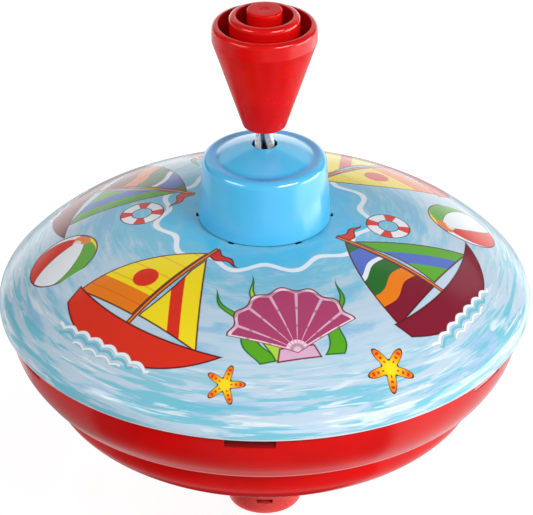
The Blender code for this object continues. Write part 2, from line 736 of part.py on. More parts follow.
def make_hub(carrier):
    """Hub bush through the bowl, its lock ring, and the headed pin pressed up into it."""
    spigot_z = FOOT_WEB_Z + FOOT_WEB_T + RUN
    pin_top = spigot_z + PIVOT_GRIP
    neck_top = SHELL_Z + HUB_NECK_H
    outline = [
        (0.0, pin_top + FIT),
        (PIVOT_R + FIT, pin_top + FIT),
        (PIVOT_R + FIT, spigot_z),
        (HUB_SPIGOT_R, spigot_z),
        (HUB_SPIGOT_R, HUB_FLANGE_Z),
        (HUB_FLANGE_R, HUB_FLANGE_Z),
        (HUB_FLANGE_R, HUB_FLANGE_Z + HUB_FLANGE_T),
        (HUB_NECK_R, HUB_FLANGE_Z + HUB_FLANGE_T),
        (HUB_NECK_R, neck_top),
        (TUBE_R + FIT, neck_top),
        (TUBE_R + FIT, HUB_FLOOR_Z),
        (0.0, HUB_FLOOR_Z),
    ]
    piece("foot_hub", turned_mesh(outline, SMALL_FACETS), RED_PLASTIC, carrier)
    neck = HUB_NECK_R + FIT
    lock_z = SHELL_Z + SHEET + FIT
    ring = ring_outline(neck, neck + LOCK_RING_W, lock_z, lock_z + LOCK_RING_T)
    piece("hub_lock_ring", turned_mesh(ring, SMALL_FACETS), RED_PLASTIC, carrier)
    tip_z = PIVOT_HEAD_Z - PIVOT_TIP_H
    head_edge = (PIVOT_HEAD_R, PIVOT_HEAD_Z)
    tip = curve((0.0, tip_z), (PIVOT_R, 0.0), (PIVOT_R, PIVOT_TIP_H), head_edge, ARC_STEPS + 1)
    head_top = PIVOT_HEAD_Z + PIVOT_HEAD_T
    pin = tip + [(PIVOT_HEAD_R, head_top), (PIVOT_R, head_top), (PIVOT_R, pin_top), (0.0, pin_top)]
    piece("foot_pivot", turned_mesh(pin, SMALL_FACETS), BRIGHT_STEEL, carrier)


def make_foot(carrier):
    """Foot that turns on the pivot, with a snap window for each hook of its cap."""
    web_top = FOOT_WEB_Z + FOOT_WEB_T
    toe = Vector((FOOT_R, 0.0))
    brim = Vector((FOOT_TOP_R, FOOT_H))
    outline = [Vector((FOOT_CAVITY_R, 0.0))]
    outline += rounded((FOOT_CAVITY_R, 0.0), toe, brim, FOOT_EDGE, ARC_STEPS + 1)
    outline += rounded(toe, brim, (JOURNAL_R, FOOT_H), FOOT_EDGE / 2)
    outline += [
        Vector((JOURNAL_R, FOOT_H)),
        Vector((JOURNAL_R, web_top)),
        Vector((PIVOT_R + RUN, web_top)),
        Vector((PIVOT_R + RUN, FOOT_WEB_Z)),
        Vector((FOOT_CAVITY_R, FOOT_WEB_Z)),
    ]
    foot = piece("foot", turned_mesh(outline, FINE_FACETS), RED_PLASTIC, carrier)
    window_inner = FOOT_CAVITY_R - HOOK_T
    window_outer = FOOT_R + HOOK_T
    window_top = WINDOW_Z + WINDOW_H
    cut(foot, boxes_round(WINDOW_COUNT, FRONT, window_inner, window_outer, WINDOW_W, WINDOW_Z, window_top))


def make_foot_cap(carrier):
    """Disc that closes the foot, with a bearing pad for the pivot and hooks that latch in the windows."""
    cap_r = FOOT_CAVITY_R - FIT
    pad_z = PIVOT_HEAD_Z - PIVOT_TIP_H - FIT
    outline = [
        (0.0, 0.0),
        (cap_r, 0.0),
        (cap_r, CAP_T),
        (CAP_PAD_R, CAP_T),
        (CAP_PAD_R, pad_z),
        (0.0, pad_z),
    ]
    cap = piece("foot_cap", turned_mesh(outline, FINE_FACETS), RED_PLASTIC, carrier)
    hook_w = WINDOW_W - 2 * FIT
    hook_r = math.sqrt(cap_r**2 - hook_w**2 / 4) - FIT
    window_top = WINDOW_Z + WINDOW_H
    join(cap, boxes_round(WINDOW_COUNT, FRONT, hook_r - HOOK_T, hook_r, hook_w, CAP_T / 2, window_top))
    nose_inner = hook_r - HOOK_T / 2
    nose_outer = hook_r + HOOK_NOSE
    nose_w = hook_w - 2 * FIT
    nose_z = WINDOW_Z + FIT
    join(cap, boxes_round(WINDOW_COUNT, FRONT, nose_inner, nose_outer, nose_w, nose_z, window_top - FIT))


def main():
    """Builds the top: the spun body, then what moves in it and what it stands on."""
    clear_scene()
    body = axis_frame("body_frame")
    make_upper_shell(body)
    make_lower_shell(body)
    make_collar(body)
    make_crown(body)
    make_tube(body)
    make_hub(body)
    make_nut(axis_frame("driver_frame", NUT_Z))
    make_plunger(axis_frame("plunger_frame", KNOB_Z))
    stand = axis_frame("foot_frame")
    make_foot(stand)
    make_foot_cap(stand)
    bpy.context.view_layer.update()


main()
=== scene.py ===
"""Pump-action humming top: the finished surfaces of its pieces, in a pale studio.

Metres, +Z up, -Y towards the camera. The sections follow the top as it is put together, from the foot up.
"""

import math

import bmesh
import bpy
import numpy as np
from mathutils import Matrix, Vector


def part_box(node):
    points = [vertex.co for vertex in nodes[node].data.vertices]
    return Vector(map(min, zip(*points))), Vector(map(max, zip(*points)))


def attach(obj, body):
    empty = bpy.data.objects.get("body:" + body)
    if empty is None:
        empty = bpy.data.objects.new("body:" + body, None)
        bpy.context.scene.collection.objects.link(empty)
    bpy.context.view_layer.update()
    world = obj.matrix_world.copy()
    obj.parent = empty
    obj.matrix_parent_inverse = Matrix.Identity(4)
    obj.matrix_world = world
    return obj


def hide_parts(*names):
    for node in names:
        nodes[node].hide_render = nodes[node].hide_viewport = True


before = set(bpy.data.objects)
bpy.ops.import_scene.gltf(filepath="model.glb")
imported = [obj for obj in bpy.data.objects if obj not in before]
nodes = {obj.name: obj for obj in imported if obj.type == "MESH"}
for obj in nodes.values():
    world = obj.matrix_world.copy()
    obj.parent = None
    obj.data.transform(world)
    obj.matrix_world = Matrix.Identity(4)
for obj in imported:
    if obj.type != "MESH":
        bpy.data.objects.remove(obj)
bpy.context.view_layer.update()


# Foot: the red cup that stays still on the floor while the tin spins above it.
# One moulding of glossy styrene with a rounded toe, a web for the pivot and three snap windows.


def ink(red, green, blue):
    """A screen colour, 0 to 255, as linear light."""
    shares = [channel / 255 for channel in (red, green, blue)]
    return [((c + 0.055) / 1.055) ** 2.4 if c > 0.04045 else c / 12.92 for c in shares] + [1.0]


class Wire:
    """A socket that carries a value over a surface; sums written with it become Math nodes."""

    def __init__(self, socket):
        self.socket = socket

    def node(self, kind, settings, inputs, output=0):
        """Adds any node: first its settings, then the values or wires of its sockets."""
        tree = self.socket.id_data
        made = tree.nodes.new("ShaderNode" + kind)
        for name, value in settings.items():
            if name == "stops":
                ramp = made.color_ramp.elements
                for place, colour in value[len(ramp):]:
                    ramp.new(place)
                for stop, (place, colour) in zip(ramp, value):
                    stop.position = place
                    stop.color = colour
            else:
                setattr(made, name, value)
        for key, value in inputs.items():
            if isinstance(value, Wire):
                tree.links.new(value.socket, made.inputs[key])
            else:
                made.inputs[key].default_value = value
        return Wire(made.outputs[output])

    def beside(self, output):
        """Another output of the same node."""
        return Wire(self.socket.node.outputs[output])

    def into(self, node, socket):
        """Links this wire to a socket of a shader or of a group's end."""
        self.socket.id_data.links.new(self.socket, node.inputs[socket])

    def math(self, operation, *others, clamp=False):
        """A Math node on this value."""
        settings = {"operation": operation, "use_clamp": clamp}
        return self.node("Math", settings, dict(enumerate((self, *others))))

    def vector(self, operation, *others, output=0):
        """A Vector Math node on this place or direction."""
        return self.node("VectorMath", {"operation": operation}, dict(enumerate((self, *others))), output)

    def mix(self, below, above):
        """Two colours mixed by this mask."""
        return self.node("Mix", {"data_type": "RGBA"}, {0: self, 6: below, 7: above}, 2)

    def ramp(self, stops, steps="LINEAR"):
        """A colour looked up along this value, blended from stop to stop or in plain steps."""
        colour = self.node("ValToRGB", {"stops": stops}, {0: self}, "Color")
        colour.socket.node.color_ramp.interpolation = steps
        return colour

    def between(self, low, high, start=0.0, end=1.0):
        """Eased from start to end as this value goes from low to high."""
        inputs = {"From Min": low, "From Max": high, "To Min": start, "To Max": end}
        return self.node("MapRange", {"interpolation_type": "SMOOTHSTEP"}, {"Value": self, **inputs})

    def noise(self, scale, detail=2.0, stretch=(1.0, 1.0, 1.0)):
        """Cloudy noise about one half, with so many cells to the unit, along a place."""
        place = self.vector("MULTIPLY", stretch)
        return place.node("TexNoise", {}, {"Vector": place, "Scale": scale, "Detail": detail}, "Fac")

    def up(self):
        """The height of this place."""
        return self.node("SeparateXYZ", {}, {0: self}, "Z")

    def from_axis(self):
        """How far this place lies from the spin axis."""
        return self.vector("MULTIPLY", (1.0, 1.0, 0.0)).vector("LENGTH", output="Value")

    def bump(self, depth):
        """A normal that follows this height, so many metres deep."""
        return self.node("Bump", {}, {"Height": self, "Distance": depth, "Strength": 1.0})

    def __add__(self, other):
        return self.math("ADD", other)

    def __sub__(self, other):
        return self.math("SUBTRACT", other)

    def __rsub__(self, other):
        return (-self) + other

    def __mul__(self, other):
        return self.math("MULTIPLY", other)

    def __truediv__(self, other):
        return self.math("DIVIDE", other)

    def __neg__(self):
        return self.math("MULTIPLY", -1.0)

    def __abs__(self):
        return self.math("ABSOLUTE")

    __radd__ = __add__
    __rmul__ = __mul__


def new_finish(name):
    """A material, its shader, and the place on the piece in metres."""
    made = bpy.data.materials.new(name)
    made.use_nodes = True
    shader = made.node_tree.nodes["Principled BSDF"]
    return made, shader, Wire(made.node_tree.nodes.new("ShaderNodeTexCoord").outputs["Object"])


def moulded_red(name, scuff_and_sheen=0.0):
    """Glossy red styrene: cloudy pigment, faint flow lines, a fine satin skin, and pale scuffs that also
    paint a pale sheen.
    """
    made, shader, place = new_finish(name)
    cloud = place.noise(90.0, 3.0)
    flow = place.noise(160.0, 3.0, (1.0, 1.0, 5.0))
    pigment = (cloud * 0.6 + flow * 0.4).between(0.3, 0.7).mix(ink(208, 9, 7), ink(224, 12, 9))
    # Pale scuffs over the whole piece: partly scratch marks, partly a painted pale sheen in place of
    # reflection.
    if scuff_and_sheen:
        scratches = place.noise(700.0, 3.0, (1.0, 1.0, 4.0))
        pigment = scratches.between(0.3, 0.7, 0.6 * scuff_and_sheen, scuff_and_sheen).mix(pigment, ink(224, 126, 120))
    pigment.into(shader, "Base Color")
    cloud.between(0.3, 0.7, 0.2, 0.28).into(shader, "Roughness")
    skin = place.noise(2200.0, 2.0)
    (skin + flow * 2.0).bump(0.000012).into(shader, "Normal")
    shader.inputs["Specular IOR Level"].default_value = 0.25
    return made


def rounded(corners, steps=6):
    """Outline through (radius, height, fillet) corners, each turned with its own fillet."""
    points = []
    for index, (radius, height, fillet) in enumerate(corners):
        corner = Vector((radius, height))
        if fillet == 0.0:
            points.append(corner)
            continue
        back = (Vector(corners[index - 1][:2]) - corner).normalized()
        ahead = (Vector(corners[(index + 1) % len(corners)][:2]) - corner).normalized()
        half = back.angle(ahead) / 2
        centre = corner + (back + ahead).normalized() * fillet / math.sin(half)
        start = corner + back * fillet / math.tan(half) - centre
        end = corner + ahead * fillet / math.tan(half) - centre
        for step in range(steps + 1):
            points.append(centre + start.lerp(end, step / steps).normalized() * fillet)
    return points


def shown(name, mesh):
    """A piece made of a mesh, shaded smooth except across sharp edges."""
    bmesh.ops.recalc_face_normals(mesh, faces=mesh.faces)
    data = bpy.data.meshes.new(name)
    mesh.to_mesh(data)
    mesh.free()
    data.shade_smooth()
    data.set_sharp_from_angle(angle=SHARP)
    piece = bpy.data.objects.new(name, data)
    bpy.context.scene.collection.objects.link(piece)
    return piece


def turned(outline, facets):
    """A mesh spun about the axis from a closed outline, or from one that starts and ends on the axis."""
    mesh = bmesh.new()
    rings = []
    for radius, height in outline:
        count = 1 if radius == 0.0 else facets
        turns = [math.tau * index / facets for index in range(count)]
        rings.append([mesh.verts.new((radius * math.cos(a), radius * math.sin(a), height)) for a in turns])
    if outline[0][0] != 0.0:
        rings.append(rings[0])
    for low, high in zip(rings, rings[1:]):
        for index in range(facets):
            after = (index + 1) % facets
            corners = [low[index % len(low)], low[after % len(low)]]
            corners += [high[after % len(high)], high[index % len(high)]]
            mesh.faces.new(list(dict.fromkeys(corners)))
    return mesh


def spoke(angle):
    """The direction straight out from the axis at an angle."""
    return Vector((math.cos(angle), math.sin(angle), 0.0))


def skinned(mesh, sections):
    """Closes a row of equal outlines into a solid: both ends first, then the walls between them."""
    mesh.faces.new(sections[0][::-1])
    mesh.faces.new(sections[-1])
    count = len(sections[0])
    for low, high in zip(sections, sections[1:]):
        for here in range(count):
            after = (here + 1) % count
            mesh.faces.new((low[here], low[after], high[after], high[here]))


def punches(count, first, inner, outer, width, bottom, top, fillet):
    """Round-cornered punches set round the axis, from one radius to another."""
    mesh = bmesh.new()
    corners = [(-width / 2, bottom), (width / 2, bottom), (width / 2, top), (-width / 2, top)]
    outline = rounded([(across, height, fillet) for across, height in corners], 4)
    for index in range(count):
        out = spoke(first + math.tau * index / count)
        along = UP.cross(out)
        ends = []
        for radius in (inner, outer):
            ends.append([mesh.verts.new(out * radius + along * a + UP * z) for a, z in outline])
        skinned(mesh, ends)
    return mesh


def work(piece, tool_mesh, operation):
    """Cuts a tool out of a piece, or joins it on, and keeps the result as the piece's mesh."""
    tool = shown(piece.name + "_tool", tool_mesh)
    change = piece.modifiers.new("work", "BOOLEAN")
    change.operation = operation
    change.solver = "EXACT"
    change.object = tool
    bpy.context.view_layer.update()
    made = bpy.data.meshes.new_from_object(piece.evaluated_get(bpy.context.evaluated_depsgraph_get()))
    made.shade_smooth()
    made.set_sharp_from_angle(angle=SHARP)
    piece.modifiers.clear()
    piece.data = made
    bpy.data.objects.remove(tool)


FIT = 0.0003
FRONT = -math.pi / 2
UP = Vector((0.0, 0.0, 1.0))
SHARP = math.radians(35.0)
foot_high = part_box("foot")[1]
foot_toe_r = 0.0137
foot_cavity_r = foot_toe_r - 0.0028
foot_brim_r = 0.0114
foot_journal_r = 0.0070
foot_web = (0.0090, 0.0114)
pivot_hole_r = 0.0027
window_w = 0.0059
window_z = (0.0048, 0.0064)
window_cut = (foot_cavity_r - 0.0012, foot_toe_r + 0.001)
window_count = 3

foot = shown("foot_cup", turned(rounded([
    (foot_cavity_r, 0.0, 0.0003),
    (foot_toe_r, 0.0, 0.0016),
    (foot_brim_r, foot_high.z, 0.0008),
    (foot_journal_r, foot_high.z, 0.0003),
    (foot_journal_r, foot_web[1], 0.0),
    (pivot_hole_r, foot_web[1], 0.0),
    (pivot_hole_r, foot_web[0], 0.0),
    (foot_cavity_r, foot_web[0], 0.0004),
]), 128))
work(foot, punches(window_count, FRONT, *window_cut, window_w, *window_z, 0.0003), "DIFFERENCE")
foot.data.materials.append(moulded_red("foot_red", 0.4))
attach(foot, "stand")
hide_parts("foot")


# Foot cap: the disc that closes the foot from below and carries the pivot's round tip.
# Moulded in the same red; three hooks snap into the foot's windows and show there.

cap_r = foot_cavity_r - FIT
cap_t = 0.0018
pad_r = 0.0032
pad_z = 0.0044
hook_w = window_w - 2 * FIT
hook_r = math.sqrt(cap_r**2 - hook_w**2 / 4) - FIT
hook_t = 0.0014
hook_depth = (hook_r - hook_t, hook_r)
nose_w = hook_w - 2 * FIT
nose_depth = (hook_r - hook_t / 2, hook_r + 0.0012)
nose_z = (window_z[0] + FIT, window_z[1] - FIT)

cap = shown("foot_disc", turned(rounded([
    (0.0, 0.0, 0.0),
    (cap_r, 0.0, 0.0003),
    (cap_r, cap_t, 0.0002),
    (pad_r, cap_t, 0.0004),
    (pad_r, pad_z, 0.0004),
    (0.0, pad_z, 0.0),
]), 96))
work(cap, punches(window_count, FRONT, *hook_depth, hook_w, cap_t / 2, window_z[1], 0.0002), "UNION")
work(cap, punches(window_count, FRONT, *nose_depth, nose_w, *nose_z, 0.0002), "UNION")
cap.data.materials.clear()
cap.data.materials.append(moulded_red("foot_disc_red", 0.2))
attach(cap, "stand")
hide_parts("foot_cap")


# Pivot: the headed pin pressed up into the hub, on which the foot turns.
# Bright drawn steel with fine turning marks round its head.


def drawn_steel(name, along):
    """Bright steel, finely scored along one direction, with thin oil blooms."""
    made, shader, place = new_finish(name)
    score = place.noise(900.0, 4.0, along)
    bloom = place.noise(120.0, 2.0)
    bloom.between(0.35, 0.7).mix(ink(226, 228, 231), ink(204, 208, 214)).into(shader, "Base Color")
    (score * 0.5 + bloom * 0.5).between(0.3, 0.7, 0.08, 0.2).into(shader, "Roughness")
    score.bump(0.000006).into(shader, "Normal")
    shader.inputs["Metallic"].default_value = 1.0
    return made


def repaint(node, finish):
    """Gives a piece of the frame its finish."""
    nodes[node].data.materials.clear()
    nodes[node].data.materials.append(finish)


repaint("foot_pivot", drawn_steel("pivot_steel", (1.0, 1.0, 12.0)))


# Hub and its lock ring: the bush through the bottom of the bowl and the ring that grips it inside.
# Red styrene again; the hub's flange and spigot show in the gap above the foot.

repaint("foot_hub", moulded_red("hub_red"))
repaint("hub_lock_ring", moulded_red("hub_ring_red"))


# Bowl: the red lower shell, deep drawn from tinplate, with a pressed step half way up.
# Lacquered before forming; six hum slots are punched close under the rolled edge of the dome,
# each with a tongue bent in behind it.


def flowing(start, leave, arrive, end, steps):
    """Points on a cubic curve that leaves one point and reaches another by the given pulls."""
    first, last = Vector(start), Vector(end)
    second, third = first + Vector(leave), last - Vector(arrive)
    points = []
    for step in range(steps + 1):
        t = step / steps
        s = 1.0 - t
        points.append(s**3 * first + 3 * s * s * t * second + 3 * s * t * t * third + t**3 * last)
    return points


def heading(degrees, length):
    """A pull in an outline, turned so many degrees from straight out towards straight up."""
    return Vector((math.cos(math.radians(degrees)), math.sin(math.radians(degrees)))) * length


def sheet_outline(path, thickness):
    """Closed outline of a sheet whose outer face follows a path, with its body to the path's right."""
    inner = []
    for index, point in enumerate(path):
        along = path[min(index + 1, len(path) - 1)] - path[max(index - 1, 0)]
        inner.append(point + Vector((along.y, -along.x)).normalized() * thickness)
    return path + inner[::-1]


def lacquer(name, colours, sheen, gloss, painted_light, varnish=None):
    """Stoved lacquer on tin: cloudy colour under painted light and shade, a faint orange-peel skin and fine
    rub marks round the axis.
    """
    made, shader, place = new_finish(name)
    cloud = place.noise(60.0, 3.0)
    # The piece's own function paints light and shade into the base colour.
    painted_light(place, cloud.between(0.3, 0.7).mix(*colours)).into(shader, "Base Color")
    rub = place.noise(140.0, 3.0, (1.0, 1.0, 9.0))
    rub.between(0.35, 0.75, *sheen).into(shader, "Roughness")
    if varnish:
        varnish(place).into(shader, "Coat Weight")
        shader.inputs["Coat Roughness"].default_value = sheen[1]
    place.noise(520.0, 1.0).bump(0.000014).into(shader, "Normal")
    shader.inputs["Specular IOR Level"].default_value = gloss
    return made


TIN = 0.0006
dome_low, dome_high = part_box("upper_shell")
body_r = dome_high.x
hem_r = 0.0025
hem_z = dome_low.z
bowl_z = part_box("lower_shell")[0].z
step_z = bowl_z + 0.0410
lip_r = body_r - 0.0099
root_r = lip_r - 0.0048
step_fillet = 0.0011
knee = Vector((root_r - 0.0169, bowl_z + 0.0181))
knee_slope = 31.0
bowl_seat_r = 0.0180
bowl_hole_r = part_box("foot_hub")[1].x - 0.0065
slot_count = 6
first_slot = math.radians(-93.0)
slot_w = 2 * body_r * math.sin(math.radians(10.4) / 2)
slot_z = (hem_z - FIT - 0.0035, hem_z - FIT)
slot_cut = (body_r - 0.010, body_r + 0.003)
tongue_depth = 0.0016
tongue_root = 0.0008
tongue_steps = 24

wall_r = body_r - hem_r - FIT
flange_z = hem_z + TIN + FIT
flange_w = 0.0008
flange_fillet = 0.0005
band_drop = flange_z - step_z
band_leave = heading(-92.0, 0.6 * band_drop)
band_arrive = heading(-123.0, 0.2 * band_drop)
band = flowing((wall_r, flange_z - flange_fillet), band_leave, band_arrive, (lip_r, step_z), 24)
bowl_drop = step_z - knee.y
bowl_leave = heading(-108.7, 0.41 * bowl_drop)
bowl_arrive = heading(knee_slope - 180.0, 0.93 * bowl_drop)
bowl = flowing((root_r, step_z), bowl_leave, bowl_arrive, knee, 30)
floor_span = knee.x - bowl_seat_r
floor_leave = heading(knee_slope - 180.0, 0.4 * floor_span)
floor = flowing(knee, floor_leave, (-0.4 * floor_span, 0.0), (bowl_seat_r, bowl_z), 24)
step = rounded([
    (*band[-2], 0.0),
    (lip_r, step_z, step_fillet),
    (root_r, step_z, step_fillet),
    (*bowl[1], 0.0),
])
rim_turn = rounded([
    (wall_r + flange_w, flange_z, 0.0),
    (wall_r, flange_z, flange_fillet),
    (*band[1], 0.0),
], 3)
bowl_path = rim_turn[:-1] + band[1:-2] + step + bowl[2:] + floor[1:] + [Vector((bowl_hole_r, bowl_z))]

bowl_shell = shown("bowl", turned(sheet_outline(bowl_path, TIN), 192))
work(bowl_shell, punches(slot_count, first_slot, *slot_cut, slot_w, *slot_z, 0.0005), "DIFFERENCE")
tongue_r = wall_r - TIN
tongue_face = rounded([
    (tongue_r, slot_z[0] - tongue_root, 0.0),
    (tongue_r, slot_z[0], 0.0010),
    (tongue_r - tongue_depth, slot_z[1] - FIT, 0.0),
])
tongue_outline = sheet_outline(tongue_face, -TIN)
tongue_reach = math.asin((slot_w / 2 + tongue_root) / tongue_r)
tongues = bmesh.new()
for index in range(slot_count):
    slot_middle = first_slot + math.tau * index / slot_count
    tongue_sections = []
    for station in range(tongue_steps + 1):
        out = spoke(slot_middle + tongue_reach * (2 * station / tongue_steps - 1.0))
        tongue_sections.append([tongues.verts.new(out * r + UP * z) for r, z in tongue_outline])
    skinned(tongues, tongue_sections)
work(bowl_shell, tongues, "UNION")


def bowl_painted_light(place, colour):
    """Painted shade under the rolled edge and on the hum tongues, darkest at their top, and a painted
    highlight along the step's lip.
    """
    height = place.up()
    out = place.from_axis()
    # Painted shade on the tongues in the hum slots, darker towards the top of each slot.
    tongue_shade = out.between(tongue_r + 0.0002, tongue_r)
    tongue_shade = tongue_shade * height.between(slot_z[0] - 0.0001, slot_z[0] + 0.0003)
    colour = (tongue_shade * height.between(*slot_z, 0.75, 1.0)).mix(colour, ink(96, 5, 9))
    # A painted highlight: a pale line along the step's lip.
    lip_highlight = height.between(step_z + 0.0014, step_z + 0.0004) * out.between(lip_r - 0.0012, lip_r - 0.0004)
    colour = (lip_highlight * 0.8).mix(colour, ink(246, 150, 148))
    # A painted shadow: a dark line close under the rolled edge of the dome.
    return (height.between(hem_z - 0.0012, hem_z - 0.0007) * 0.8).mix(colour, ink(84, 4, 12))


def bowl_varnish(place):
    """Varnish that is full above the step and thins out below it, where hands hold the bowl."""
    height = place.up()
    full = height.between(step_z - 0.0025, step_z - 0.0005, 0.0, 0.45)
    return height.between(knee.y + 0.006, knee.y + 0.014, 0.04, 0.3) + full


BOWL_REDS = (ink(206, 9, 8), ink(216, 11, 9))
bowl_red = lacquer("bowl_red", BOWL_REDS, (0.14, 0.18), 0.06, bowl_painted_light, bowl_varnish)
bowl_shell.data.materials.clear()
bowl_shell.data.materials.append(bowl_red)
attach(bowl_shell, "body")
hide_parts("lower_shell")


# Guide tube: keeps the strip straight between the hub and the clutch, inside the body.
# Rolled from bare tinplate, so it shows the frosty spangle of the tin.

tube_tin, tube_shader, tube_place = new_finish("tube_tin")
spangle = tube_place.node("TexVoronoi", {}, {"Vector": tube_place, "Scale": 260.0}, "Distance")
spangle.between(0.1, 0.7).mix(ink(176, 180, 184), ink(203, 206, 209)).into(tube_shader, "Base Color")
spangle.between(0.1, 0.7, 0.3, 0.45).into(tube_shader, "Roughness")
tube_shader.inputs["Metallic"].default_value = 1.0
repaint("spindle_tube", tube_tin)


# Clutch crown, its lock ring and the drive nut: the one-way drive hidden under the collar.
# Moulded in nylon, the ring and the crown milky and the nut black; the nut turns as the strip
# runs through it.


def nylon(name, colours):
    """Moulded nylon: cloudy colour and a fine satin skin."""
    made, shader, place = new_finish(name)
    cloud = place.noise(220.0, 3.0)
    cloud.between(0.3, 0.7).mix(*colours).into(shader, "Base Color")
    cloud.between(0.3, 0.7, 0.38, 0.52).into(shader, "Roughness")
    place.noise(1800.0, 2.0).bump(0.00001).into(shader, "Normal")
    return made


NATURAL = (ink(226, 222, 210), ink(240, 238, 230))
repaint("clutch_crown", nylon("crown_nylon", NATURAL))
repaint("crown_lock_ring", nylon("crown_ring_nylon", NATURAL))
repaint("drive_nut", nylon("nut_nylon", (ink(26, 26, 28), ink(34, 34, 37))))


# Dome: the printed upper shell, pressed from a flat sheet of tin that was printed first.
# The picture is laid out on that flat sheet, in millimetres from its middle. The rolled edge
# grips the bowl.

collar_r = 0.0234
seat = Vector((collar_r + 0.0032, dome_high.z))
dome_hole_r = 0.0105
rim_z = hem_z + hem_r + 0.0011
shoulder_r = 0.0055
shoulder_slope = 47.6
tab_count = 6
tab_w = 0.0020
tab_gap = 0.0008


def arc(centre, radius, start, end, steps):
    """Points on a round stretch of an outline between two headings."""
    turns = [start + (end - start) * step / steps for step in range(steps + 1)]
    return [Vector(centre) + heading(turn, radius) for turn in turns]


def lay_flat(piece, path):
    """Stores where each point of a pressed piece lay on its flat sheet, in millimetres."""
    route = np.array([tuple(point) for point in path])
    runs = np.diff(route, axis=0)
    lengths = np.linalg.norm(runs, axis=1)
    starts = route[0, 0] + np.concatenate([[0.0], np.cumsum(lengths)])
    places = np.empty(len(piece.data.vertices) * 3)
    piece.data.vertices.foreach_get("co", places)
    places = places.reshape(-1, 3)
    radius = np.hypot(places[:, 0], places[:, 1])
    section = np.stack([radius, places[:, 2]], axis=1)
    nearest = np.argmin(((section[:, None] - route[None]) ** 2).sum(axis=2), axis=1)
    ways = np.concatenate([runs / lengths[:, None], runs[-1:] / lengths[-1]])
    reach = starts[nearest] + ((section - route[nearest]) * ways[nearest]).sum(axis=1)
    flat = places * (1000 * reach / radius)[:, None]
    flat[:, 2] = 0.0
    piece.data.attributes.new("flat", "FLOAT_VECTOR", "POINT").data.foreach_set("vector", flat.ravel())


shoulder = arc((body_r - shoulder_r, rim_z), shoulder_r, 90.0 - shoulder_slope, 0.0, 14)
span = (shoulder[0] - seat).length
dome_leave = heading(-4.6, 0.31 * span)
dome_arrive = heading(-shoulder_slope, 0.39 * span)
dome_curve = flowing(seat, dome_leave, dome_arrive, shoulder[0], 48)
hem = arc((body_r - hem_r, hem_z + hem_r), hem_r, 0.0, -90.0, 12)
dome_path = [Vector((dome_hole_r, dome_high.z))] + dome_curve + shoulder[1:] + hem

dome = shown("dome", turned(sheet_outline(dome_path, TIN), 192))
tab_slot_cut = (collar_r - TIN - tab_gap, collar_r + tab_gap)
tab_slot_w = tab_w + 2 * FIT
tab_slot_z = (dome_high.z - 2 * TIN, dome_high.z + TIN)
work(dome, punches(tab_count, 0.0, *tab_slot_cut, tab_slot_w, *tab_slot_z, 0.0002), "DIFFERENCE")
lay_flat(dome, dome_path)

OUTLINE = ink(96, 26, 34)
YELLOW = ink(250, 226, 36)
ORANGE = ink(241, 130, 28)
VERMILION = ink(224, 52, 32)
LEAF = ink(92, 172, 40)
LIME = ink(176, 216, 76)
PINK = ink(224, 178, 208)
BLUSH = ink(244, 220, 234)
MAROON = ink(132, 30, 50)
ROYAL = ink(84, 114, 200)
FOREST = ink(44, 112, 48)
FOAM = ink(238, 244, 249)
WATER = ink(122, 198, 226)
PALE = ink(194, 215, 232)
TEAL = ink(108, 196, 216)
DEEP = ink(146, 186, 224)
POOL = ink(82, 194, 236)
EDGE_SOFT = 0.3


def drawing(name, draw):
    """Wraps a motif, drawn about its own middle in millimetres, as a group with a colour and a cover."""
    tree = bpy.data.node_groups.new(name, "ShaderNodeTree")
    tree.interface.new_socket("Place", in_out="INPUT", socket_type="NodeSocketVector")
    tree.interface.new_socket("Colour", in_out="OUTPUT", socket_type="NodeSocketColor")
    tree.interface.new_socket("Cover", in_out="OUTPUT", socket_type="NodeSocketFloat")
    colour, cover = draw(Wire(tree.nodes.new("NodeGroupInput").outputs["Place"]))
    end = tree.nodes.new("NodeGroupOutput")
    colour.into(end, "Colour")
    cover.into(end, "Cover")
    return tree


def filled(shape, grow=0.0):
    """Mask of a shape, given as millimetres outside its edge, with a soft printed edge."""
    return shape.math("MULTIPLY_ADD", -1.0 / EDGE_SOFT, 0.5 + grow / EDGE_SOFT, clamp=True)


def coat(picture, shape, colour, line=0.6, line_colour=OUTLINE):
    """Prints a shape over a picture, with a drawn line round it."""
    edge = filled(shape, line / 2)
    body = filled(shape, -line / 2)
    if picture is None:
        return body.mix(line_colour, colour), edge
    paint, cover = picture
    return body.mix(edge.mix(paint, line_colour), colour), cover.math("MAXIMUM", edge)


def tint(picture, mask, colour):
    """Changes the colour inside a picture by a mask, and leaves its cover as it was."""
    return mask.mix(picture[0], colour), picture[1]


def disc(place, x, y, radius):
    """Distance outside a disc about a point."""
    return place.vector("DISTANCE", (x, y, 0.0), output="Value") - radius


def beyond(place, degrees, offset):
    """Millimetres beyond a straight edge that faces so many degrees from the right."""
    way = (math.cos(math.radians(degrees)), math.sin(math.radians(degrees)), 0.0)
    return place.vector("DOT_PRODUCT", way, output="Value") - offset


def both(first, *others):
    """The shape that several shapes have in common."""
    for other in others:
        first = first.math("MAXIMUM", other)
    return first


def x_and_y(place):
    """The place's two coordinates on the flat."""
    x = place.node("SeparateXYZ", {}, {0: place}, "X")
    return x, x.beside("Y")


def wave_line(x, y, height, swing, pitch):
    """Millimetres above a row of scalloped wave crests."""
    return y - height - abs((x * (math.pi / pitch)).math("SINE")) * swing


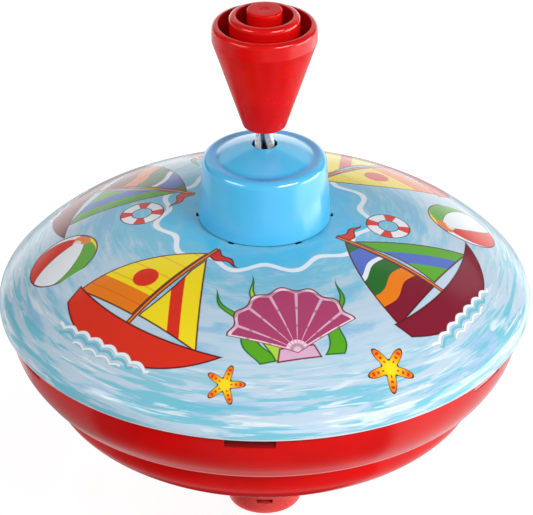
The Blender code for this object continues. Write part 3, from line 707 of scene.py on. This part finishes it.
def sailing_boat(sail_colour, jib_colour, hull_colour, band_colour):
    """A sloop under sail; the mainsail's colour is worked out from the place on it."""

    def draw(place):
        x, y = x_and_y(place)
        sheer = disc(place, 2.0, 80.0, 88.0)
        mast = both(abs(x - 2.0) - 0.7, y - 37.0, -9.0 - y)
        picture = coat(None, mast, ORANGE)
        flutter = abs(y - 34.2 - (x * 0.8).math("SINE") * 0.7) - (14.0 - x) * 0.22
        picture = coat(picture, both(flutter, 2.6 - x), VERMILION)
        mainsail = both(disc(place, 41.0, -24.5, 70.0), x - 0.8, -4.5 - y)
        picture = coat(picture, mainsail, sail_colour(place, x, y))
        jib = both(beyond(place, 39.3, 21.5), -disc(place, -60.0, 10.0, 64.6), -3.6 - y, 3.4 - x)
        picture = coat(picture, jib, jib_colour(place, x, y))
        waterline = wave_line(x, y, -19.0, 1.3, 6.8)
        hull = both(disc(place, 2.0, 20.0, 42.0), -sheer, -27.0 - x, -waterline)
        picture = coat(picture, hull, hull_colour)
        stripe = filled(both(abs(sheer + 3.6) - 1.3, hull + 0.6))
        picture = tint(picture, stripe, band_colour)
        picture = coat(picture, both(abs(waterline + 0.5) - 0.7, abs(x + 1.0) - 23.0), FOAM, 0.0)
        picture = coat(picture, both(abs(waterline + 2.6) - 0.5, abs(x + 3.0) - 18.5), TEAL, 0.0)
        return coat(picture, both(abs(waterline + 4.6) - 0.5, abs(x + 1.0) - 12.0), FOAM, 0.0)

    return draw


def sunny_sail(place, x, y):
    """Yellow cloth with an orange foot and a red sun, darker along its seams."""
    seam = abs((y / 7.5).math("FRACT") - 0.5).between(0.44, 0.5, 0.0, 0.45)
    cloth = filled(y - 5.0).mix(YELLOW, ORANGE)
    cloth = seam.mix(cloth, VERMILION)
    return filled(disc(place, -7.6, 11.0, 4.6)).mix(cloth, VERMILION)


def sunny_jib(place, x, y):
    """Yellow cloth with one red band."""
    return filled(abs(beyond(place, 39.3, 13.0)) - 2.2).mix(YELLOW, VERMILION)


def striped_sail(place, x, y):
    """Wavy bands of many colours, as on a holiday boat."""
    height = ((y + (x * 0.3).math("SINE") * 1.1 + 5.0) / 42.0).math("ADD", 0.0, clamp=True)
    stops = [(0.0, MAROON), (0.2, ORANGE), (0.34, FOREST), (0.52, FOAM), (0.57, ROYAL), (0.76, FOREST)]
    return height.ramp(stops, "CONSTANT")


def striped_jib(place, x, y):
    """Green cloth with one blue band."""
    return filled(abs(beyond(place, 39.3, 12.5)) - 3.0).mix(LEAF, ROYAL)


def scallop(place):
    """A pink scallop between blades of green weed."""
    x, y = x_and_y(place)
    picture = None
    blades = ((-12.0, -0.32, 17.0, LEAF), (12.5, 0.28, 14.0, LEAF), (-6.0, -0.1, 21.0, LIME))
    for foot_x, lean, top, colour in blades:
        sway = x - foot_x - (y + 14.0) * lean - ((y + 3.0 * foot_x) * 0.32).math("SINE") * 1.5
        width = (top - y) * 0.11
        picture = coat(picture, both(abs(sway) - width, -16.0 - y), colour, 0.6, FOREST)
    rise = y + 13.0
    spread = x.math("ARCTAN2", rise)
    rib = (spread * 17.0).math("COSINE")
    out = disc(place, 0.0, -13.0, 0.0)
    fan = both(out - 24.0 - rib * 0.9 - (spread * 1.4).math("COSINE") * 3.0, abs(x) - rise * 1.9 - 2.2)
    hinge = both(abs(x) - 6.4 + rise * 0.35, abs(y + 14.2) - 2.4)
    shade = (rib * 0.5 + 0.5).mix(PINK, BLUSH)
    shade = (out * 0.8).math("SINE").between(0.75, 1.0, 0.0, 0.5).mix(shade, MAROON)
    picture = coat(picture, hinge, PINK, 0.6, MAROON)
    picture = coat(picture, fan, shade, 0.6, MAROON)
    groove = filled(both(-0.93 - rib, fan + 1.5, 4.0 - out) * 3.0)
    return tint(picture, groove, ink(176, 70, 112))


def starfish(place):
    """An orange five-armed star with a row of red dots down each arm."""
    x, y = x_and_y(place)
    out = disc(place, 0.0, 0.0, 0.0)
    arm = (x.math("ARCTAN2", y) * 5.0).math("COSINE") * 0.5 + 0.5
    shape = (out - 4.2 - arm.math("POWER", 1.5) * 7.6) * 0.7
    picture = coat(None, shape, (out / 11.0).between(0.1, 0.9).mix(YELLOW, ORANGE), 0.6)
    row = abs((out / 2.6).math("FRACT") - 0.5) * 2.6 - 0.62
    dots = both(row, (0.93 - arm) * out * 0.9, 2.2 - out, out - 10.4)
    return tint(picture, filled(dots), VERMILION)


def beach_ball(place):
    """A ball of coloured gores, seen a little from above."""
    radius = 15.0
    out = disc(place, 0.0, 0.0, 0.0) / radius
    bulge = (1.0 - out * out).math("MAXIMUM", 0.0).math("SQRT")
    x, y = x_and_y(place)
    surface = x.node("CombineXYZ", {}, {"X": x / radius, "Y": y / radius, "Z": bulge})
    tilt = {"Vector": surface, "Rotation": (0.9, 0.5, 0.0)}
    tilted = surface.node("VectorRotate", {"rotation_type": "EULER_XYZ"}, tilt)
    across, up = x_and_y(tilted)
    turn = across.math("ARCTAN2", up) / math.tau + 0.5
    stops = [(0.0, VERMILION), (1 / 6, FOAM), (2 / 6, ROYAL), (3 / 6, YELLOW), (4 / 6, LEAF), (5 / 6, FOAM)]
    gores = turn.ramp(stops, "CONSTANT")
    seam = abs((turn * 6.0).math("FRACT") - 0.5).between(0.46, 0.5, 0.0, 0.6)
    gores = seam.mix(gores, OUTLINE)
    picture = coat(None, (out - 1.0) * radius, gores)
    button = tilted.vector("DOT_PRODUCT", (0.0, 0.0, 1.0), output="Value")
    picture = tint(picture, filled((0.955 - button) * 40.0), ORANGE)
    gleam = filled(disc(place.vector("MULTIPLY", (1.0, 1.6, 1.0)), -5.5, 11.5, 3.0))
    return tint(picture, gleam * 0.75, FOAM)


def life_ring(place):
    """A white and red ring buoy."""
    x, y = x_and_y(place)
    out = disc(place, 0.0, 0.0, 0.0)
    quarter = (x.math("ARCTAN2", y) * 4.0).math("COSINE")
    colour = filled((0.35 - quarter) * 2.0).mix(FOAM, VERMILION)
    return coat(None, abs(out - 8.2) - 3.0, colour)


def streaks(place, out, rings, along):
    """Water streaks that run round the axis, so many of them from the middle to the rim."""
    way = place.vector("NORMALIZE").vector("MULTIPLY", (along, along, along))
    lift = out.node("CombineXYZ", {}, {"Z": out * rings})
    swirl = way.vector("ADD", lift)
    grain = {"Vector": swirl, "Scale": 1.0, "Detail": 4.0, "Distortion": 0.6}
    return swirl.node("TexNoise", {}, grain, "Fac")


def on_sheet(place, azimuth, reach, size, lean):
    """The place seen from a motif's middle, upright towards the collar, at an azimuth from the front."""
    turn = math.radians(azimuth)
    middle = (reach * math.sin(turn), -reach * math.cos(turn), 0.0)
    inputs = {"Vector": place, "Location": middle, "Rotation": (0.0, 0.0, turn + math.radians(lean))}
    return place.node("Mapping", {"vector_type": "TEXTURE"}, {**inputs, "Scale": (size, size, size)})


sunny_boat = drawing("sunny_boat", sailing_boat(sunny_sail, sunny_jib, VERMILION, YELLOW))
striped_boat = drawing("striped_boat", sailing_boat(striped_sail, striped_jib, MAROON, ORANGE))
shell = drawing("shell", scallop)
star = drawing("star", starfish)
ball = drawing("ball", beach_ball)
buoy = drawing("buoy", life_ring)

# Each motif with its azimuth from the front, its distance from the middle, its size and its lean
HALF_PRINT = (
    (sunny_boat, -41.0, 66.0, 1.0, -3.0),
    (shell, 8.0, 62.0, 1.0, 4.0),
    (striped_boat, 58.0, 65.0, 0.95, 3.0),
    (ball, 100.0, 74.0, 0.9, 0.0),
    (star, 30.0, 88.0, 0.75, 20.0),
    (star, -9.0, 88.0, 0.6, -12.0),
    (buoy, 84.0, 44.0, 0.7, 0.0),
)
HALF_MIDDLE = math.radians(20.0)

printed, print_shader, print_place = new_finish("dome_print")
flat = print_place.node("Attribute", {"attribute_name": "flat"}, {}, "Vector")
reach = flat.vector("LENGTH", output="Value")
broad = streaks(flat, reach, 0.16, 2.6)
fine = streaks(flat, reach, 0.55, 5.0)
teal_streak = streaks(flat, reach, 0.42, 3.6)
depth = (broad - 0.5) * 1.5 + (fine - 0.5) * 0.8 + reach.between(40.0, 72.0, 0.5, 0.0)
paint = depth.between(-0.05, 0.5).mix(PALE, WATER)
paint = (broad.between(0.54, 0.66) * 0.5).mix(paint, DEEP)
paint = (teal_streak.between(0.46, 0.58) * reach.between(74.0, 96.0, 0.1, 0.85)).mix(paint, TEAL)
paint = (fine.between(0.54, 0.66) * reach.between(72.0, 96.0, 0.15, 0.75)).mix(paint, FOAM)
# A white band round the rolled edge: the sheet's unprinted margin, and a painted highlight along the edge.
paint = (reach.between(106.6, 107.2) * 0.8).mix(paint, FOAM)

flat_x, flat_y = x_and_y(flat)
scallops = (flat_x.math("ARCTAN2", flat_y) * 11.0).math("COSINE")
pool_edge = reach - 36.5 - scallops * 2.2
paint = filled(pool_edge, 1.1).mix(paint, FOAM)
pool_depth = (broad - 0.5).between(-0.2, 0.25)
paint = filled(pool_edge, -1.1).mix(paint, pool_depth.mix(POOL, WATER))

side = flat.vector("DOT_PRODUCT", (math.sin(HALF_MIDDLE), -math.cos(HALF_MIDDLE), 0.0), output="Value")
half = flat.node("VectorMath", {"operation": "SCALE"}, {"Vector": flat, "Scale": side.math("SIGN")})
for motif, *spot in HALF_PRINT:
    local = on_sheet(half, *spot)
    motif_paint = local.node("Group", {"node_tree": motif}, {"Place": local}, "Colour")
    paint = motif_paint.beside("Cover").mix(paint, motif_paint)
paint.into(print_shader, "Base Color")
print_rub = print_place.noise(160.0, 3.0, (1.0, 1.0, 6.0))
print_rub.between(0.35, 0.75, 0.14, 0.2).into(print_shader, "Roughness")
print_place.noise(420.0, 1.0).bump(0.000012).into(print_shader, "Normal")
print_shader.inputs["Specular IOR Level"].default_value = 0.3
dome.data.materials.append(printed)
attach(dome, "body")
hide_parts("upper_shell")


# Collar: the blue cap over the clutch, with a raised crown, a dished shelf and the strip's hole.
# Pressed from tin and stoved light blue; six tabs pass through the dome and are bent over below it.

collar_z = dome_high.z + FIT
collar_top_r = collar_r - 0.0017
collar_top_z = collar_z + 0.0239
groove = Vector((collar_top_r - 0.0044, collar_top_z - 0.0007))
hole = Vector((0.0045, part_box("drive_collar")[1].z))
tab_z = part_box("drive_collar")[0].z
tab_stem = (collar_r - TIN, collar_r)
tab_fold = (collar_r - 0.0030, collar_r - TIN / 2)
crown_span = groove.x - hole.x
crown = flowing(groove, heading(144.0, 0.25 * crown_span), heading(166.0, 0.45 * crown_span), hole, 32)
collar_path = rounded([
    (collar_r, collar_z, 0.0),
    (collar_top_r, collar_top_z, 0.0026),
    (*groove, 0.0012),
    (*crown[4], 0.0),
], 8)[:-1] + crown[4:]
collar = shown("collar", turned(sheet_outline(collar_path, -TIN), 144))
work(collar, punches(tab_count, 0.0, *tab_stem, tab_w, tab_z, collar_z + TIN, 0.0002), "UNION")
work(collar, punches(tab_count, 0.0, *tab_fold, tab_w, tab_z, tab_z + TIN, 0.0002), "UNION")


def collar_painted_shade(place, colour):
    """Painted shade in the groove round the crown, on the cut edge at the collar's foot and on its tabs."""
    height = place.up()
    out = place.from_axis()
    # Painted shade: a soft darker blue ring in the groove round the crown.
    groove_shade = abs(out - groove.x - 0.0009).between(0.0026, 0.0004, 0.0, 0.55)
    colour = (groove_shade * height.between(groove.y - TIN / 2, groove.y)).mix(colour, ink(40, 128, 208))
    # Painted shade: dark navy on the collar's cut foot and on the tabs below it.
    return height.between(collar_z + 0.0002, collar_z - 0.0001).mix(colour, ink(22, 44, 78))


COLLAR_BLUES = (ink(79, 193, 244), ink(87, 198, 247))
collar.data.materials.append(lacquer("collar_blue", COLLAR_BLUES, (0.15, 0.22), 1.0, collar_painted_shade))
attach(collar, "body")
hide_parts("drive_collar")


# Spindle and its stop: a flat steel strip, twisted one turn in 48 mm, that drives the nut on its way down.
# Bright drawn steel with rounded edges; a collar crimped on its lower end keeps it from coming out.

strip_low, strip_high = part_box("spindle")
strip_w = 0.0070
strip_t = 0.0018
strip_lead = 0.0480
strip_turn = math.radians(18.0)
strip_edge = 0.0007
strip_steps = 240

strip_mesh = bmesh.new()
strip_corners = [(-1, -1), (1, -1), (1, 1), (-1, 1)]
strip_outline = rounded([(strip_w / 2 * a, strip_t / 2 * b, strip_edge) for a, b in strip_corners], 4)
strip_sections = []
for index in range(strip_steps + 1):
    height = strip_low.z + (strip_high.z - strip_low.z) * index / strip_steps
    wide = spoke(strip_turn - math.tau * height / strip_lead)
    thick = UP.cross(wide)
    places = [wide * a + thick * b + UP * height for a, b in strip_outline]
    strip_sections.append([strip_mesh.verts.new(place) for place in places])
skinned(strip_mesh, strip_sections)
strip = shown("twisted_strip", strip_mesh)
strip_steel, strip_shader, strip_place = new_finish("strip_steel")
score = strip_place.noise(900.0, 4.0, (3.0, 3.0, 0.3))
# Painted highlight and reflection: near-white edges, partly burnish where the nut rubs, and a dark
# blue-grey middle.
burnish_and_highlight = (strip_place.from_axis() + (score - 0.5) * 0.0008).between(0.0010, 0.0017)
burnish_and_highlight.mix(ink(112, 120, 146), ink(240, 242, 245)).into(strip_shader, "Base Color")
burnish_and_highlight.between(0.0, 1.0, 1.0, 0.35).into(strip_shader, "Metallic")
score.between(0.3, 0.7, 0.22, 0.36).into(strip_shader, "Roughness")
score.bump(0.000006).into(strip_shader, "Normal")
strip.data.materials.append(strip_steel)
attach(strip, "plunger")
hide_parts("spindle")
repaint("spindle_stop", drawn_steel("stop_steel", (1.0, 1.0, 8.0)))


# Knob: the red grip pressed on the strip, a cone under a short straight band.
# Moulded in one shot; rings and grooves core out its top so that it cools evenly.

knob_low, knob_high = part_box("knob")
knob_tip_r = 0.0074
knob_r = knob_high.x
kink_z = knob_low.z + 0.0330
knob_rim_z = kink_z + 0.0061
ring_z = knob_rim_z + 0.0031
knob_wall = 0.0021
boss_r = 0.0061
rim_inner_r = knob_r - knob_wall
ring_middle_r = (rim_inner_r + boss_r) / 2
ring_half = 0.0012
outer_floor = knob_rim_z - 0.0095
inner_floor = ring_z - 0.0230
cone_share = (outer_floor - knob_low.z) / (kink_z - knob_low.z)
groove_r = knob_tip_r + (knob_r - knob_tip_r) * cone_share - knob_wall
knob_roll = 0.0017
knob_edge = 0.0002
boss_edge = 0.0006
groove_edge = 0.0006
gate_r = 0.0016
gate_depth = 0.0002

knob = shown("knob_grip", turned(rounded([
    (0.0, knob_low.z, 0.0),
    (knob_tip_r, knob_low.z, 0.0015),
    (knob_r, kink_z, 0.0012),
    (knob_r, knob_rim_z, knob_roll),
    (rim_inner_r, knob_rim_z, knob_edge),
    (groove_r, outer_floor, groove_edge),
    (ring_middle_r + ring_half, outer_floor, groove_edge),
    (ring_middle_r + ring_half, ring_z, knob_roll),
    (ring_middle_r - ring_half, ring_z, knob_edge),
    (ring_middle_r - ring_half, inner_floor, groove_edge),
    (boss_r, inner_floor, groove_edge),
    (boss_r, knob_high.z, boss_edge),
    (gate_r, knob_high.z, 0.0001),
    (gate_r, knob_high.z - gate_depth, 0.0),
    (0.0, knob_high.z - gate_depth, 0.0),
]), 144))
knob_red = moulded_red("knob_red")
knob_shader = knob_red.node_tree.nodes["Principled BSDF"]
knob_place = Wire(knob_red.node_tree.nodes["Texture Coordinate"].outputs["Object"])
knob_up = knob_place.up()
knob_gloss = knob_up.between(kink_z - 0.0005, kink_z + 0.0005, 0.0, 0.55)
(knob_gloss * knob_up.between(knob_high.z - 0.0004, knob_high.z - 0.0014)).into(knob_shader, "Coat Weight")
knob_shader.inputs["Coat Roughness"].default_value = 0.15
knob_shader.inputs["Specular IOR Level"].default_value = 0.12
knob.data.materials.append(knob_red)
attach(knob, "plunger")
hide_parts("knob")


# Studio: a pale floor under a white tent, lit by softboxes and cards, with a camera in front that looks
# down at the top. Glowing cloths on the floor and a glowing sweep behind, unseen by the camera, paint what
# its gloss reflects.

FLOOR_GAP = 0.0001
FLOOR_HALF = 40.0
bpy.context.scene.view_settings.view_transform = "Standard"

floor_mesh = bmesh.new()
bmesh.ops.create_grid(floor_mesh, x_segments=1, y_segments=1, size=FLOOR_HALF)
studio_floor = shown("studio_floor", floor_mesh)
studio_floor.location.z = -FLOOR_GAP
floor_paint, floor_shader, floor_place = new_finish("floor_paint")
floor_cloud = floor_place.noise(6.0, 2.0).between(0.3, 0.7)
floor_cloud.mix(ink(128, 128, 128), ink(132, 132, 132)).into(floor_shader, "Base Color")
floor_shader.inputs["Roughness"].default_value = 0.6
floor_shader.inputs["Emission Color"].default_value = (1.0, 1.0, 1.0, 1.0)
floor_shader.inputs["Emission Strength"].default_value = 0.86
studio_floor.data.materials.append(floor_paint)


def glowing(shader, glow):
    """Makes a finish that gives off light and reflects none."""
    glow.into(shader, "Emission Color")
    shader.inputs["Emission Strength"].default_value = 1.0
    shader.inputs["Base Color"].default_value = (0.0, 0.0, 0.0, 1.0)
    shader.inputs["Specular IOR Level"].default_value = 0.0


def stage_unseen(name, mesh, paint, lift=0.0, shades=False):
    """A sheet that the camera doesn't see: the top's gloss shows it, and it may shade the top as well."""
    sheet = shown(name, mesh)
    sheet.location.z = lift
    sheet.data.materials.append(paint)
    sheet.visible_camera = False
    sheet.visible_diffuse = shades
    sheet.visible_shadow = False


# Glowing cloths lie round the top unseen by the camera: painted reflections, dark with lighter stretches
cloth_dye, cloth_shader, cloth_place = new_finish("cloth_dye")
cloth_x, cloth_y = x_and_y(cloth_place)
cloth_unit = 0.16
cloth_reach = disc(cloth_place, 0.0, 0.0, 0.0) / cloth_unit
cloth_turn = cloth_x.math("ARCTAN2", -cloth_y)
cloth_light = ((0.0, 0.3), (0.09, 0.08), (0.14, 0.04), (0.36, 0.05), (0.42, 0.5), (0.469, 0.65),
               (0.531, 0.38), (0.625, 0.2), (0.719, 0.08), (0.8125, 0.03))
cloth_stops = [(place, (light, light, light, 1.0)) for place, light in cloth_light]
cloth_glow = cloth_reach.ramp(cloth_stops)
cloth_aside = abs(cloth_turn)
cloth_far = cloth_reach.between(1.4, 1.9)


def sector(start, end, soft):
    """Mask of the cloth between two azimuths, with soft ends."""
    rise = cloth_turn.between(math.radians(start), math.radians(start + soft))
    return rise * cloth_turn.between(math.radians(end), math.radians(end - soft))


cloth_openings = (
    sector(42.0, 150.0, 8.0) * 0.75,
    sector(46.0, 152.0, 16.0) * cloth_far * 1.8,
    sector(-14.0, 62.0, 16.0) * cloth_far * 0.35,
    sector(-150.0, -61.0, 8.0) * 0.3,
    sector(60.0, 128.0, 20.0) * cloth_reach.between(0.46, 0.36) * 0.5,
    sector(-128.0, -60.0, 20.0) * cloth_reach.between(0.46, 0.36) * 0.5,
    cloth_aside.between(math.radians(100.0), math.radians(115.0)) * cloth_reach.between(0.7, 0.9) * 0.7,
    cloth_aside.between(math.radians(112.0), math.radians(130.0)) * cloth_reach.between(2.2, 4.4) * 1.9,
)
for opening in cloth_openings:
    cloth_glow = cloth_glow.math("MAXIMUM", opening)
glowing(cloth_shader, cloth_glow)
cloth_steps = 64
cloth_edges = (0.016, 1.6)
cloth_lift = 0.0005


def lay_cloth(name, start, end, shades):
    """A cloth on the floor from one azimuth to another, which shades the top or only shows in its gloss."""
    mesh = bmesh.new()
    turns = [math.radians(start + (end - start) * index / cloth_steps) for index in range(cloth_steps + 1)]
    near, far = [
        [mesh.verts.new((edge * math.sin(turn), -edge * math.cos(turn), 0.0)) for turn in turns]
        for edge in cloth_edges
    ]
    for index in range(cloth_steps):
        mesh.faces.new((near[index], near[index + 1], far[index + 1], far[index]))
    stage_unseen(name, mesh, cloth_dye, cloth_lift, shades)


lay_cloth("front_cloth", -24.0, 306.0, False)
lay_cloth("left_cloth", -54.0, -24.0, True)

# A glowing sweep stands behind, unseen by the camera; its painted reflection washes out the far side of the
# dome
sweep_r = 1.9
sweep_top = 0.8
sweep_half = 64.0
sweep_steps = 32
sweep_paper, sweep_shader, sweep_place = new_finish("sweep_paper")
sweep_x, sweep_y = x_and_y(sweep_place)
sweep_up = sweep_x.beside("Z")
sweep_side = abs(sweep_x.math("ARCTAN2", sweep_y))
sweep_middle = sweep_side.between(math.radians(52.0), math.radians(22.0))
glowing(sweep_shader, sweep_up.between(0.75, 0.30) * sweep_middle * 1.8)
sweep_mesh = bmesh.new()
sweep_columns = []
for index in range(sweep_steps + 1):
    turn = math.radians(sweep_half * (2 * index / sweep_steps - 1.0))
    foot_x = sweep_r * math.sin(turn)
    foot_y = sweep_r * math.cos(turn)
    sweep_columns.append([sweep_mesh.verts.new((foot_x, foot_y, z)) for z in (0.0, sweep_top)])
for left, right in zip(sweep_columns, sweep_columns[1:]):
    sweep_mesh.faces.new((left[0], right[0], right[1], left[1]))
stage_unseen("paper_sweep", sweep_mesh, sweep_paper)

tent = bpy.data.worlds.new("tent")
tent.use_nodes = True
tent.node_tree.nodes["Background"].inputs["Color"].default_value = (1.0, 1.0, 1.0, 1.0)
tent.node_tree.nodes["Background"].inputs["Strength"].default_value = 0.15
bpy.context.scene.world = tent


def softbox(name, place, aim, size, power, lights=True):
    """A soft rectangular light aimed at a point, which lights the top or only shows in its gloss."""
    light = bpy.data.lights.new(name, "AREA")
    light.shape = "RECTANGLE"
    light.size, light.size_y = size
    light.energy = power
    lamp = bpy.data.objects.new(name, light)
    lamp.location = place
    lamp.rotation_euler = (Vector(aim) - Vector(place)).to_track_quat("-Z", "Y").to_euler()
    lamp.visible_diffuse = lights
    bpy.context.scene.collection.objects.link(lamp)


softbox("right_box", (0.78, -0.80, 0.80), (0.0, 0.0, 0.10), (0.75, 0.25), 12.5)
softbox("left_box", (-0.98, -0.57, 0.80), (0.0, 0.0, 0.10), (0.75, 0.25), 6.0)
softbox("right_card", (0.60, 0.00, 0.14), (0.0, 0.0, 0.14), (0.50, 0.24), 0.7)
softbox("right_gleam", (0.61, 0.00, 0.14), (0.0, 0.0, 0.14), (0.50, 0.24), 2.2, False)
softbox("back_card", (0.0, 1.60, 0.90), (0.0, 0.0, 0.10), (3.20, 1.20), 9.0)

lens = bpy.data.cameras.new("camera")
lens.sensor_fit = "HORIZONTAL"
lens.sensor_width = 36.0
lens.lens = 195.15
camera = bpy.data.objects.new("camera", lens)
camera.location = (0.000667, -0.8939, 0.6161)
camera.rotation_euler = (math.radians(60.107), 0.0, 0.0)
bpy.context.scene.collection.objects.link(camera)
bpy.context.scene.camera = camera
